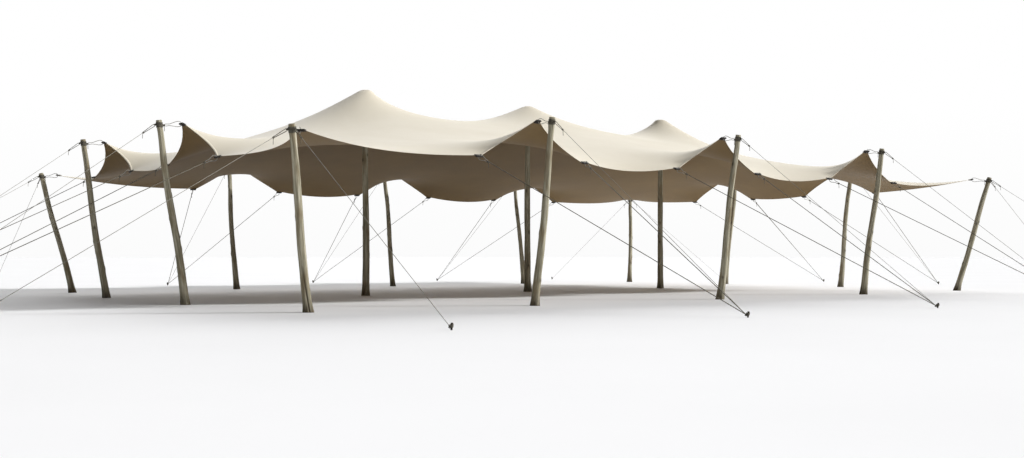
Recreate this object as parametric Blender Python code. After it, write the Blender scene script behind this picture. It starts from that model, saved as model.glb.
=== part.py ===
"""Stretch tent: one gathered canopy over three centre poles, held out by fourteen leaning
edge poles and thirty-eight taut ropes to eighteen ground stakes. Metres, +Z up, long axis X."""
import bpy
import bmesh
import numpy as np
from math import sin, cos, pi, sqrt
from mathutils import Vector

GAP = 0.0003                      # clearance between touching pieces

# Plan of the outer poles: feet, outward lean of the head, head height
LONG_X, LONG_Y = (-4.05, 0.0, 4.05), 5.27
END_X, END_Y = 8.05, (-1.80, 1.80)
CORNER_X, CORNER_Y = 7.67, 5.03
SIDE_LEAN, SIDE_TOP = 0.41, 2.77
CORNER_LEAN, CORNER_TOP = 0.475, 2.40
PEAK_X, PEAK_Z = (-3.85, 0.0, 3.85), 3.84
POLE_SIDES = 10
BOW = 0.022                       # how far a trunk bends off its axis
# Radii at the foot, at mid-height and at the head
CENTRE_RADII, SIDE_RADII, CORNER_RADII = (0.079, 0.058, 0.046), (0.073, 0.052, 0.045), (0.073, 0.051, 0.046)
CAP_R, CAP_H, CAP_NECK = 0.085, 0.03, 0.05

# Stakes
LONG_STAKE_Y, END_STAKE_X = 9.37, 12.17
CORNER_STAKE_A = (8.20, 9.10)     # straight out from the long side
CORNER_STAKE_B = (11.95, 5.40)    # straight out from the short side
STAKE_R, STAKE_TOP, STAKE_LEAN = 0.011, 0.075, 0.012
STAKE_HEAD_H = 0.006

# Canopy grid: cells along and across, and the cells where poles and clamps hold it
COLS, ROWS = 45, 31
LONG_CELLS, END_CELLS, PEAK_ROW = (11, 22, 33), (10, 20), 15
CLAMP_STEP = 3                    # cells from a pole's clamp to its two low clamps
CANOPY_T = 0.008
ARCH_PULL, RIM_PULL = 2.5, 8.5    # roped rim against plain cloth, at a pole and between poles
RIM_WEIGHT = {"arch": 0.135, "span": 0.5, "corner": 0.175}    # sag of each rim node
END_PULL = 1.57                   # lengthwise pull outside the outer peaks
CROWN_PULLS = ((0.29, 3.0), (2.0, 1.2))    # layered cloth at each peak: pull, and cells it fades over
PATCH = 0.15                      # half side of the flat crown on each centre pole
GATHER = 0.06                     # half width of cloth taken by one clamp
HIGH_Y, HIGH_X, HIGH_Z = 5.32, 8.08, 2.73
LOW_Y, LOW_X, LOW_Z = 5.225, 7.95, 2.19
LOW_LONG, LOW_END = 1.016, 1.005  # low clamps either side of each side pole
CORNER_CLAMP = (7.865, 5.225, 2.36)

# Rigging
CLAMP_W, CLAMP_D, CLAMP_H = 0.118, 0.050, 0.034
LINK_L, LINK_W, WIRE = 0.200, 0.044, 0.0055
EDGE_ROPE_R, GUY_ROPE_R, DOUBLED_R = 0.006, 0.0045, 0.010
DOUBLED_L, KNOT_R, LASHING_R, BUNCH_R = 0.22, 0.019, 0.018, 0.020
LINK_START = CLAMP_D * 0.55       # how deep in the clamp the link is held
COLLAR_H, COLLAR_T, COLLAR_DROP = 0.085, 0.013, 0.03
LUG_OFF = 0.022                   # rope lugs off the face of the pole
HITCH_UP, HITCH_H, HITCH_T, BUNCH_OFF = 0.034, 0.022, 0.007, 0.020

CLOTH, WOOD, IRON, ROPE = (0.80, 0.75, 0.66), (0.26, 0.22, 0.16), (0.10, 0.10, 0.10), (0.24, 0.22, 0.19)

for old in list(bpy.data.objects):
    bpy.data.objects.remove(old, do_unlink=True)
scene_objects = bpy.context.scene.collection.objects


def material(name, colour, roughness, metallic=0.0):
    made = bpy.data.materials.new(name)
    made.use_nodes = True
    shader = made.node_tree.nodes["Principled BSDF"]
    shader.inputs["Base Color"].default_value = (*colour, 1.0)
    shader.inputs["Roughness"].default_value = roughness
    shader.inputs["Metallic"].default_value = metallic
    made.diffuse_color = (*colour, 1.0)
    return made


def add_node(name, mesh, colour, roughness=0.7, metallic=0.0, smooth=True):
    """Keep one mesh as a named sub-part with a material of its own."""
    mesh.name = name
    mesh.materials.clear()
    mesh.materials.append(material(name, colour, roughness, metallic))
    mesh.polygons.foreach_set("use_smooth", [smooth] * len(mesh.polygons))
    node = bpy.data.objects.new(name, mesh)
    scene_objects.link(node)
    return node


def mesh_of(points, faces):
    """Closed mesh from points and faces, faces turned outward."""
    bm = bmesh.new()
    verts = [bm.verts.new(p) for p in points]
    for face in faces:
        bm.faces.new([verts[k] for k in face])
    bmesh.ops.recalc_face_normals(bm, faces=bm.faces)
    mesh = bpy.data.meshes.new("part")
    bm.to_mesh(mesh)
    bm.free()
    return mesh


def loft(rings, hollow=False):
    """Skin neighbouring rings; close the ends, or the last ring onto the first."""
    n, count = len(rings[0]), len(rings)
    points = [p for ring in rings for p in ring]
    faces = []
    for a in range(count if hollow else count - 1):
        b = (a + 1) % count
        faces += [(a * n + k, a * n + (k + 1) % n, b * n + (k + 1) % n, b * n + k) for k in range(n)]
    if not hollow:
        faces += [tuple(range(n)), tuple(range((count - 1) * n, count * n))]
    return mesh_of(points, faces)


def across(axis):
    """Two unit vectors square to an axis, the first level."""
    side = Vector((0, 0, 1)).cross(axis)
    side = side.normalized() if side.length > 1e-4 else Vector((1, 0, 0))
    return side, axis.cross(side).normalized()


def ring(centre, axis, radius, sides, turn=0.0):
    u, v = across(axis)
    angles = [turn + 2 * pi * k / sides for k in range(sides)]
    return [centre + (u * cos(a) + v * sin(a)) * radius for a in angles]


def cordage(start, end, profile, sides=6):
    """Taut rope with its knots: radii at distances from the start, the last one at the end."""
    axis = (end - start).normalized()
    spots = [(along, r) for along, r in profile[:-1]] + [((end - start).length, profile[-1])]
    return loft([ring(start + axis * along, axis, r, sides, 0.17) for along, r in spots])


def knot(centre, axis, radius, length=0.036):
    half = axis * (length / 2)
    return loft([ring(centre + half * at, axis, r, 6, 0.31) for at, r in
                 ((-1, radius * 0.55), (0, radius), (1, radius * 0.55))])


def sleeve(low, high, inner, outer, sides):
    """Open tube round a pole or stake, cut from the same polygon as what it goes round."""
    axis = (high - low).normalized()
    return loft([ring(low, axis, inner, sides), ring(low, axis, outer, sides),
                 ring(high, axis, outer, sides), ring(high, axis, inner, sides)], hollow=True)


def jaw(edge, outward, pull):
    """Clamp block: upright inner face against the cloth edge, body along the pull."""
    wide = Vector((-outward.y, outward.x, 0)) * (CLAMP_W / 2)
    up = Vector((0, 0, CLAMP_H / 2))
    near = edge + outward * GAP
    far = near + pull * CLAMP_D
    return loft([[c - wide - up, c + wide - up, c + wide + up, c - wide + up] for c in (near, far)])


def link(start, pull, length=LINK_L):
    """Wire link: a flat upright loop, wide at the clamp and narrow at the knot."""
    level, side = across(pull)
    shape = [(0.0, 0.6), (0.28, 1.0), (1.0, 0.30)]
    outline = [(s, -w) for s, w in shape] + [(s, w) for s, w in reversed(shape)]
    rings = []
    for grow, lift in ((-1, -1), (1, -1), (1, 1), (-1, 1)):
        loop = []
        for s, w in outline:
            along = s * length + (0 if s == 0.28 else (WIRE if s else -WIRE)) * grow
            wide = w * LINK_W + (WIRE if w > 0 else -WIRE) * grow
            loop.append(start + pull * along + side * wide + level * (WIRE * lift))
        rings.append(loop)
    return loft(rings, hollow=True)


def union(meshes):
    """Join overlapping closed meshes into one closed body."""
    objects = []
    for mesh in meshes:
        piece = bpy.data.objects.new("joined", mesh)
        scene_objects.link(piece)
        objects.append(piece)
    base = objects[0]
    for other in objects[1:]:
        cut = base.modifiers.new("join", 'BOOLEAN')
        cut.operation, cut.solver, cut.object = 'UNION', 'EXACT', other
    bpy.context.view_layer.update()
    graph = bpy.context.evaluated_depsgraph_get()
    result = bpy.data.meshes.new_from_object(base.evaluated_get(graph))
    for piece in objects:
        bpy.data.objects.remove(piece, do_unlink=True)
    return result


# Canopy: the cloth settles between its peaks and clamps like a tensioned net
def held_points():
    held = {}
    for cell, x in zip(LONG_CELLS, LONG_X):
        for step, dx, y, z in ((0, 0.0, HIGH_Y, HIGH_Z), (-CLAMP_STEP, -LOW_LONG, LOW_Y, LOW_Z),
                               (CLAMP_STEP, LOW_LONG, LOW_Y, LOW_Z)):
            for k in (0, 1):
                at = x + dx + (2 * k - 1) * GATHER
                held[cell + step + k, 0] = (at, -y, z)
                held[cell + step + k, ROWS] = (at, y, z)
    for cell, y in zip(END_CELLS, END_Y):
        for step, dy, x, z in ((0, 0.0, HIGH_X, HIGH_Z), (-CLAMP_STEP, -LOW_END, LOW_X, LOW_Z),
                               (CLAMP_STEP, LOW_END, LOW_X, LOW_Z)):
            for k in (0, 1):
                at = y + dy + (2 * k - 1) * GATHER
                held[0, cell + step + k] = (-x, at, z)
                held[COLS, cell + step + k] = (x, at, z)
    c, (x, y, z) = GATHER / sqrt(2), CORNER_CLAMP
    for sx, i0, i1 in ((-1, 0, 1), (1, COLS, COLS - 1)):
        for sy, j0, j1 in ((-1, 0, 1), (1, ROWS, ROWS - 1)):
            held[i0, j1] = (sx * (x + c), sy * (y - c), z)
            held[i1, j0] = (sx * (x - c), sy * (y + c), z)
    for cell, x in zip(LONG_CELLS, PEAK_X):
        for a in (0, 1):
            for b in (0, 1):
                held[cell + a, PEAK_ROW + b] = (x + (2 * a - 1) * PATCH, (2 * b - 1) * PATCH, PEAK_Z)
    return held


def rim_zone(i, j):
    """Where a rim node lies: in the arch of a pole, in a span between poles or next to a corner."""
    along, cells = (i, LONG_CELLS) if j in (0, ROWS) else (j, END_CELLS)
    nearest = min(min(abs(along - cell), abs(along - cell - 1)) for cell in cells)
    if nearest <= CLAMP_STEP:
        return "arch"
    return "span" if cells[0] < along < cells[-1] else "corner"


def pull_between(a, b):
    """Pull of the cloth from one grid node to the next: more in the roped rim, the ends and the crowns."""
    (i, j), (far_i, far_j) = a, b
    if (j == far_j and j in (0, ROWS)) or (i == far_i and i in (0, COLS)):
        return ARCH_PULL if rim_zone(*a) == rim_zone(*b) == "arch" else RIM_PULL
    pull = END_PULL if j == far_j and not LONG_CELLS[0] <= i <= LONG_CELLS[2] else 1.0
    for cell in LONG_CELLS:
        away = np.hypot((i + far_i - 1) / 2 - cell, (j + far_j - 1) / 2 - PEAK_ROW)
        pull += sum(strength * np.exp(-(away / reach) ** 2) for strength, reach in CROWN_PULLS)
    return pull


def settle_net():
    corners = {(0, 0), (0, ROWS), (COLS, 0), (COLS, ROWS)}
    grid = [(i, j) for i in range(COLS + 1) for j in range(ROWS + 1) if (i, j) not in corners]
    index = {spot: k for k, spot in enumerate(grid)}
    pull, load = np.zeros((len(grid), len(grid))), np.zeros((len(grid), 3))
    for (i, j), p in index.items():
        if i in (0, COLS) or j in (0, ROWS):
            load[p, 2] = -RIM_WEIGHT[rim_zone(i, j)]
        for spot in ((i + 1, j), (i, j + 1)):
            if spot not in index:
                continue
            strength = pull_between((i, j), spot)
            q = index[spot]
            pull[p, p] += strength
            pull[q, q] += strength
            pull[p, q] -= strength
            pull[q, p] -= strength
    for spot, at in held_points().items():
        k = index[spot]
        pull[k], load[k] = 0.0, at
        pull[k, k] = 1.0
    return index, np.linalg.solve(pull, load)


index, net = settle_net()
faces = []
for i in range(COLS):
    for j in range(ROWS):
        cell = [index[s] for s in ((i, j), (i + 1, j), (i + 1, j + 1), (i, j + 1)) if s in index]
        faces.append(cell)
rim = ([(i, 0) for i in range(1, COLS)] + [(COLS, j) for j in range(1, ROWS)]
       + [(i, ROWS) for i in range(COLS - 1, 0, -1)] + [(0, j) for j in range(ROWS - 1, 0, -1)])
rim = [index[s] for s in rim]
n = len(net)
top = [Vector(p) for p in net]
under = [p - Vector((0, 0, CANOPY_T)) for p in top]
walls = [(a, b, b + n, a + n) for a, b in zip(rim, rim[1:] + rim[:1])]
canopy = mesh_of(top + under, faces + [[k + n for k in reversed(f)] for f in faces] + walls)
add_node("canopy", canopy, CLOTH, 0.85)


# Poles: peeled gum trunks, a little bent, flared at the foot and cut level with the ground
def pole(name, foot, head, radii, seed, cap=0.0):
    axis = (head - foot).normalized()
    u, v = across(axis)
    length = (head - foot).length
    base, waist, tip = radii
    rings = []
    for s, r in ((0.0, base), (0.06, base * 0.86), (0.28, waist * 1.06), (0.52, waist),
                 (0.76, (waist + tip) / 2), (0.93, tip), (1.0, tip)):
        bow = 0.0 if s in (0.0, 0.93, 1.0) else BOW * sin(pi * s)
        sway = u * sin(seed * 2.4 + 3 * s) + v * cos(seed * 1.7 + 4 * s)
        rings.append(ring(foot + axis * (length * s) + sway * bow, axis, r, POLE_SIDES))
    rings[0] = [p - axis * (p.z / axis.z) for p in rings[0]]
    if cap:
        rings[-1] = ring(head - axis * CAP_NECK, axis, tip, POLE_SIDES)
        rings += [ring(head - axis * CAP_H, axis, cap, POLE_SIDES), ring(head, axis, cap * 0.97, POLE_SIDES)]
    add_node(name, loft(rings), WOOD, 0.75)
    return head, axis


for k, x in enumerate(PEAK_X):
    pole(f"pole_centre_{k + 1}", Vector((x, 0, 0)), Vector((x, 0, PEAK_Z - CANOPY_T - GAP)),
         CENTRE_RADII, k + 1, CAP_R)


# Stakes: round iron pegs driven in, leaning away from the tent
def stake(name, foot, outward):
    head = foot + outward * STAKE_LEAN + Vector((0, 0, STAKE_TOP))
    axis = (head - foot).normalized()
    rings = [ring(foot, axis, STAKE_R, 8), ring(head - axis * STAKE_HEAD_H, axis, STAKE_R, 8),
             ring(head, axis, STAKE_R * 1.25, 8)]
    rings[0] = [p - axis * (p.z / axis.z) for p in rings[0]]
    add_node(name, loft(rings), IRON, 0.55, 0.6)
    return foot + axis * HITCH_UP, axis


def hitch(at, axis, toward):
    """Rope eye round a stake with the knot where the ropes arrive."""
    half = axis * (HITCH_H / 2)
    eye = sleeve(at - half, at + half, STAKE_R + GAP, STAKE_R + HITCH_T, 8)
    return eye, at + toward * (STAKE_R + BUNCH_OFF)


# Guy sets: collar, links, clamps, knots and ropes of one outer pole
def pole_top(head, axis, radius, outward):
    low, high = head - axis * (COLLAR_H + COLLAR_DROP), head - axis * COLLAR_DROP
    band = sleeve(low, high, radius + GAP, radius + COLLAR_T, POLE_SIDES)
    middle = (low + high) / 2
    return band, middle - outward * (radius + LUG_OFF), middle + outward * (radius + LUG_OFF)


def high_clamp(edge, lug):
    pull = (lug - edge).normalized()
    outward = Vector((pull.x, pull.y, 0)).normalized()
    start = edge + outward * GAP + pull * LINK_START
    return [jaw(edge, outward, pull), link(start, pull, (lug - start).length - 0.004),
            knot(lug, pull, LASHING_R)]


def low_rope(edge, outward, bunch):
    pull = (bunch - edge).normalized()
    start = edge + outward * GAP + pull * LINK_START
    tied = start + pull * (LINK_L + 0.012)
    profile = [(-0.025, 0.010), (0.0, KNOT_R), (0.025, EDGE_ROPE_R * 1.15), EDGE_ROPE_R]
    return [jaw(edge, outward, pull), link(start, pull), cordage(tied, bunch + pull * 0.004, profile)]


def pole_guy(lug, bunch):
    pull = (bunch - lug).normalized()
    profile = [(-0.018, 0.011), (0.0, KNOT_R), (0.018, DOUBLED_R), (DOUBLED_L - 0.03, DOUBLED_R),
               (DOUBLED_L, 0.017), (DOUBLED_L + 0.03, GUY_ROPE_R * 1.2), GUY_ROPE_R]
    return [cordage(lug, bunch + pull * 0.009, profile)]


def side_station(label, foot, outward, along, edge_out, low_out, spread, stake_out, seed):
    head, axis = pole("pole_" + label, foot, foot + outward * SIDE_LEAN + Vector((0, 0, SIDE_TOP)),
                      SIDE_RADII, seed)
    at, up = stake("stake_" + label, foot + outward * stake_out, outward)
    eye, bunch = hitch(at, up, -outward)
    band, inner, outer = pole_top(head, axis, SIDE_RADII[2], outward)
    parts = [eye, knot(bunch, outward, BUNCH_R)]
    for side in (-1, 1):
        edge = foot + outward * low_out + along * (side * spread)
        parts += low_rope(Vector((edge.x, edge.y, LOW_Z - CANOPY_T / 2)), outward, bunch)
    edge = foot + outward * edge_out
    parts += [band] + high_clamp(Vector((edge.x, edge.y, HIGH_Z - CANOPY_T / 2)), inner)
    parts += pole_guy(outer, bunch)
    add_node("guys_" + label, union(parts), ROPE, 0.8)


def corner_station(label, sx, sy, stakes, seed):
    foot, outward = Vector((sx * CORNER_X, sy * CORNER_Y, 0)), Vector((sx, sy, 0)).normalized()
    lean = Vector((sx, sy, 0)) * CORNER_LEAN
    head, axis = pole("pole_" + label, foot, foot + lean + Vector((0, 0, CORNER_TOP)), CORNER_RADII, seed)
    band, inner, _ = pole_top(head, axis, CORNER_RADII[2], outward)
    x, y, z = CORNER_CLAMP
    parts = [band] + high_clamp(Vector((sx * x, sy * y, z - CANOPY_T / 2)), inner)
    middle = head - axis * (COLLAR_DROP + COLLAR_H / 2)
    for peg, (px, py) in zip(stakes, (CORNER_STAKE_A, CORNER_STAKE_B)):
        spot = Vector((sx * px, sy * py, 0))
        away = (spot - Vector((head.x, head.y, 0))).normalized()
        at, up = stake("stake_" + peg, spot, away)
        eye, bunch = hitch(at, up, -away)
        parts += pole_guy(middle + away * (CORNER_RADII[2] + LUG_OFF), bunch)
        parts += [knot(bunch, away, LASHING_R), eye]
    add_node("guys_" + label, union(parts), ROPE, 0.8)


seed = 5                          # varies the bend from trunk to trunk
for side, sy in (("front", -1), ("back", 1)):
    for k, x in enumerate(LONG_X):
        side_station(f"{side}_{k + 1}", Vector((x, sy * LONG_Y, 0)), Vector((0, sy, 0)), Vector((1, 0, 0)),
                     HIGH_Y - LONG_Y, LOW_Y - LONG_Y, LOW_LONG, LONG_STAKE_Y - LONG_Y, seed)
        seed += 1
for side, sx in (("left", -1), ("right", 1)):
    for k, y in enumerate(END_Y):
        side_station(f"{side}_{k + 1}", Vector((sx * END_X, y, 0)), Vector((sx, 0, 0)), Vector((0, 1, 0)),
                     HIGH_X - END_X, LOW_X - END_X, LOW_END, END_STAKE_X - END_X, seed)
        seed += 1
for k, (sx, sy) in enumerate(((-1, -1), (1, -1), (1, 1), (-1, 1))):
    corner_station(f"corner_{k + 1}", sx, sy, (f"corner_{k + 1}a", f"corner_{k + 1}b"), seed)
    seed += 1
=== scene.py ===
"""Stretch tent: a cream canopy over three gum poles, held out by leaning edge poles, rope guys and
iron stakes. Everything is in metres, +Z up, the long side along X and the front towards -Y."""
import bmesh
import bpy
import numpy as np
from math import atan2, cos, exp, pi, radians, sin, sqrt
from mathutils import Matrix, Vector, noise


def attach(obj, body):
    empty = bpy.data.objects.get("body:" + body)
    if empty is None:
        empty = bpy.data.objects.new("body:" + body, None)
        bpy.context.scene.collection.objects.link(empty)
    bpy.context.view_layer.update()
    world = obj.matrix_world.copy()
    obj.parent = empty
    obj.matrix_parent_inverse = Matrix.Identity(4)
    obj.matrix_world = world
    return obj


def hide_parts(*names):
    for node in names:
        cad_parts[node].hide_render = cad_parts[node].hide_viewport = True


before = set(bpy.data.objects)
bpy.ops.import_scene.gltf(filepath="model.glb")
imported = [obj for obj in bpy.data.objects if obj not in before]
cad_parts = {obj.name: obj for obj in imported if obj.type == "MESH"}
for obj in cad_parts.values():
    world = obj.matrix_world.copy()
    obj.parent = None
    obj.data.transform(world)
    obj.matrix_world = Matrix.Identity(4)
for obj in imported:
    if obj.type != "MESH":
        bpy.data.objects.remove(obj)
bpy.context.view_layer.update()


# Stage: the photograph is taken level, from low down off one corner of the tent, over a pale floor
# that runs out into the backdrop. A key light stands low on the right, a weak side light nearer the
# camera, and a broad light hangs behind the tent, so that the ground in front lies in a soft shade.
EYE, TURN = (-14.743, -18.571, 0.75), radians(37.664)
LENS, SENSOR, RISE, VIEW_REACH = 40.30, 36.0, 0.0257, 2000.0
KEY_HEIGHT, KEY_STRENGTH, KEY_SPREAD = radians(25), 3.5, radians(6)
BACK_HEIGHT, BACK_STRENGTH, BACK_SPREAD = radians(29), 2.65, radians(52)
SIDE_TURN, SIDE_HEIGHT, SIDE_STRENGTH, SIDE_SPREAD = radians(42), radians(25), 0.6, radians(40)
FILL, FLOOR_REACH = 0.10, 400.0

camera_data = bpy.data.cameras.new("camera")
camera_data.lens, camera_data.sensor_width, camera_data.shift_y = LENS, SENSOR, RISE
camera_data.clip_end = VIEW_REACH
camera = bpy.data.objects.new("camera", camera_data)
camera.location, camera.rotation_euler = EYE, (pi / 2, 0, -TURN)
bpy.context.scene.collection.objects.link(camera)
bpy.context.scene.camera = camera
bpy.context.scene.view_settings.view_transform = 'Standard'


def linear(code):
    """Linear colour of an sRGB hex value."""
    parts = [int(code[k:k + 2], 16) / 255 for k in (1, 3, 5)]
    return (*[c / 12.92 if c <= 0.04045 else ((c + 0.055) / 1.055) ** 2.4 for c in parts], 1.0)


def put(tree, kind, settings=None, links=None):
    """Add one node, with its settings by property or socket name and its links by socket name."""
    made = tree.nodes.new("ShaderNode" + kind)
    for name, value in (settings or {}).items():
        if isinstance(name, str) and hasattr(made, name):
            setattr(made, name, value)
        else:
            made.inputs[name].default_value = value
    for name, source in (links or {}).items():
        tree.links.new(source, made.inputs[name])
    return made


def new_material(name):
    """A node material, its tree, and its shader."""
    made = bpy.data.materials.new(name)
    made.use_nodes = True
    return made, made.node_tree, made.node_tree.nodes["Principled BSDF"]


def light_from(name, way, height, strength, spread):
    """A sun that shines from one way, at a height above the floor, as soft as its spread."""
    data = bpy.data.lights.new(name, 'SUN')
    data.energy, data.angle = strength, spread
    made = bpy.data.objects.new(name, data)
    direction = way * cos(height) + up * sin(height)
    made.rotation_mode = 'QUATERNION'
    made.rotation_quaternion = (-direction).to_track_quat('-Z', 'Y')
    bpy.context.scene.collection.objects.link(made)


right_of_view = Vector((cos(TURN), -sin(TURN), 0))
into_view = Vector((sin(TURN), cos(TURN), 0))
up = Vector((0, 0, 1))
side_way = right_of_view * cos(SIDE_TURN) - into_view * sin(SIDE_TURN)
light_from("key_light", right_of_view, KEY_HEIGHT, KEY_STRENGTH, KEY_SPREAD)
light_from("side_light", side_way, SIDE_HEIGHT, SIDE_STRENGTH, SIDE_SPREAD)
light_from("back_light", into_view, BACK_HEIGHT, BACK_STRENGTH, BACK_SPREAD)

# The backdrop is white overhead and a breath greyer where it meets the floor
world = bpy.data.worlds.new("backdrop")
world.use_nodes = True
bpy.context.scene.world = world
tree = world.node_tree
place = put(tree, "TexCoord")
height = put(tree, "SeparateXYZ", links={"Vector": place.outputs["Generated"]})
tone = put(tree, "MapRange", {"From Min": 0.0, "From Max": 0.12, "To Min": 0.97, "To Max": 1.0},
           {"Value": height.outputs["Z"]})
seen = put(tree, "Background", links={"Color": tone.outputs["Result"]})
fill = put(tree, "Background", {"Color": (1, 1, 1, 1), "Strength": FILL})
ray = put(tree, "LightPath")
chosen = put(tree, "MixShader",
             links={0: ray.outputs["Is Camera Ray"], 1: fill.outputs[0], 2: seen.outputs[0]})
tree.links.new(chosen.outputs[0], tree.nodes["World Output"].inputs["Surface"])

# The floor is matt studio paint, faintly uneven in tone
floor_paint, tree, shader = new_material("matt_studio_paint")
shader.inputs["Roughness"].default_value = 0.9
shader.inputs["Specular IOR Level"].default_value = 0.1
place = put(tree, "TexCoord")
patches = put(tree, "TexNoise", {"Scale": 0.3, "Detail": 3.0}, {"Vector": place.outputs["Object"]})
tone = put(tree, "ValToRGB", links={"Fac": patches.outputs["Fac"]})
for stop, code in zip(tone.color_ramp.elements, ("#EFEFF0", "#F5F5F6")):
    stop.color = linear(code)
tree.links.new(tone.outputs["Color"], shader.inputs["Base Color"])
bm = bmesh.new()
bmesh.ops.create_circle(bm, cap_ends=True, segments=96, radius=FLOOR_REACH)
floor_mesh = bpy.data.meshes.new("floor")
bm.to_mesh(floor_mesh)
bm.free()
floor_mesh.materials.append(floor_paint)
floor = bpy.data.objects.new("floor", floor_mesh)
bpy.context.scene.collection.objects.link(floor)


# Canopy: one stretch cloth of about 10 by 15 m, a coated polyester knit, cream above and brown
# below; the brown is darker than the cloth's own colour, as painted shade under the canopy. It is
# drawn over the three pole heads and out to thirty-four rim clamps, and between them it settles like
# a net of even pulls. Its rim is turned in to a flat hem 4 cm wide.
COLUMNS, ROWS, FINE = 45, 31, 4                     # cells between the clamps, and net lines to a cell
LONG_CELLS, END_CELLS, PEAK_ROW, CLAMP_STEP = (11, 22, 33), (10, 20), 15, 3
LONG_X, END_Y, PEAK_X, PEAK_Z = (-4.05, 0.0, 4.05), (-1.80, 1.80), (-3.85, 0.0, 3.85), 3.84
HIGH_Y, HIGH_X, HIGH_Z = 5.32, 8.08, 2.73           # clamp tied to each pole head
LOW_Y, LOW_X, LOW_Z = 5.225, 7.95, 2.19             # the two clamps pulled down beside it
LOW_LONG, LOW_END = 1.016, 1.005
CORNER_CLAMP = (7.865, 5.225, 2.36)
GATHER = 0.06                                       # half the cloth taken by one clamp
ARCH_PULL, RIM_PULL, END_PULL = 2.5, 8.5, 1.57
ARCH_SAG, SPAN_SAG, CORNER_SAG = 0.135, 0.5, 0.175
CROWN_PULL, PULL_REACH = 1.386, 1.042               # layered cloth at each peak pulls harder,
CROWN_LIFT, LIFT_REACH = 0.311, 1.204               # and stands up stiffly; reaches are in cells
CROWN_R, CROWN_BEND = 0.121, 0.27                   # padded pole head under the cloth, and its roundness
START_Z, COARSE_ROUNDS, FINE_ROUNDS = 2.8, 600, 500
COARSE_STRIDE, FINE_STRIDE = 1.85, 1.93             # how far past its rest each step carries a node
CLOTH_DROP, CLOTH_T, WELD = 0.003, 0.002, 1e-5
HEM_W, HEM_OUT, HEM_T = 0.040, 0.0015, 0.0035       # its width, how far it passes the rim, its thickness
FLAT_SIZE = (10.0, 15.0)
STITCH = 0.006                                      # as drawn; the real stitches are 1 mm apart


def net_pulls(fine):
    """Pulls along X and along Y between the net's nodes, and the sag that its rim carries."""
    i, j = np.arange(COLUMNS * fine + 1) / fine, np.arange(ROWS * fine + 1) / fine
    middle_i, middle_j = (i[1:] + i[:-1]) / 2, (j[1:] + j[:-1]) / 2
    inner = (middle_i > LONG_CELLS[0]) & (middle_i < LONG_CELLS[-1] + 1)
    pull_x = np.where(inner, 1.0, END_PULL)[:, None] * np.ones(len(j))
    pull_y = np.ones((len(i), len(middle_j)))
    sag = np.zeros((len(i), len(j)))
    for cell in LONG_CELLS:
        for pull, a, b in ((pull_x, middle_i, j), (pull_y, i, middle_j)):
            away = np.hypot((a - cell - 0.5)[:, None], b - PEAK_ROW - 0.5)
            pull += CROWN_PULL * np.exp(-(away / PULL_REACH) ** 2)
        away = np.hypot((i - cell - 0.5)[:, None], j - PEAK_ROW - 0.5)
        sag -= CROWN_LIFT * np.exp(-(away / LIFT_REACH) ** 2) / fine ** 2
    for spots, middles, cells, rim, load in (
            (i, middle_i, LONG_CELLS, (pull_x[:, 0], pull_x[:, -1]), (sag[:, 0], sag[:, -1])),
            (j, middle_j, END_CELLS, (pull_y[0], pull_y[-1]), (sag[0], sag[-1]))):
        arch = np.any([abs(middles - c - 0.5) < CLAMP_STEP + 0.5 for c in cells], axis=0)
        arch_spot = np.any([abs(spots - c - 0.5) < CLAMP_STEP + 0.51 for c in cells], axis=0)
        span = (spots > cells[0]) & (spots < cells[-1] + 1)
        for row in rim:
            row[:] = np.where(arch, ARCH_PULL, RIM_PULL) * fine
        for row in load:
            row[:] = np.where(arch_spot, ARCH_SAG, np.where(span, SPAN_SAG, CORNER_SAG)) / fine
    return pull_x, pull_y, sag


def hold(net, fine):
    """Set the nodes that poles and clamps hold, and say which nodes they are."""
    held = np.zeros(net.shape[:2], bool)
    last_i, last_j = COLUMNS * fine, ROWS * fine
    gather = np.linspace(-GATHER, GATHER, fine + 1)
    long_clamps = ((0, 0, HIGH_Y, HIGH_Z), (-1, -LOW_LONG, LOW_Y, LOW_Z), (1, LOW_LONG, LOW_Y, LOW_Z))
    end_clamps = ((0, 0, HIGH_X, HIGH_Z), (-1, -LOW_END, LOW_X, LOW_Z), (1, LOW_END, LOW_X, LOW_Z))
    for cell, x in zip(LONG_CELLS, LONG_X):
        for step, dx, y, z in long_clamps:
            first = (cell + step * CLAMP_STEP) * fine
            taken = slice(first, first + fine + 1)
            for row, side in ((0, -1), (last_j, 1)):
                net[taken, row] = [(x + dx + g, side * y, z) for g in gather]
                held[taken, row] = True
    for cell, y in zip(END_CELLS, END_Y):
        for step, dy, x, z in end_clamps:
            first = (cell + step * CLAMP_STEP) * fine
            taken = slice(first, first + fine + 1)
            for row, side in ((0, -1), (last_i, 1)):
                net[row, taken] = [(side * x, y + dy + g, z) for g in gather]
                held[row, taken] = True
    x, y, z = CORNER_CLAMP
    for a in range(fine + 1):
        for b in range(fine + 1 - a):
            along = (a - b) / fine * GATHER / sqrt(2)
            for i, side_x in ((a, -1), (last_i - a, 1)):
                for j, side_y in ((b, -1), (last_j - b, 1)):
                    net[i, j] = (side_x * (x - along), side_y * (y + along), z)
                    held[i, j] = True
    for cell, peak_x in zip(LONG_CELLS, PEAK_X):
        for a in range(fine + 1):
            for b in range(fine + 1):
                u, v = 2 * a / fine - 1, 2 * b / fine - 1
                x, y = CROWN_R * u * sqrt(1 - v * v / 2), CROWN_R * v * sqrt(1 - u * u / 2)
                spot = (cell * fine + a, PEAK_ROW * fine + b)
                net[spot] = (peak_x + x, y, PEAK_Z - (x * x + y * y) / (2 * CROWN_BEND))
                held[spot] = True
    return held


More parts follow.
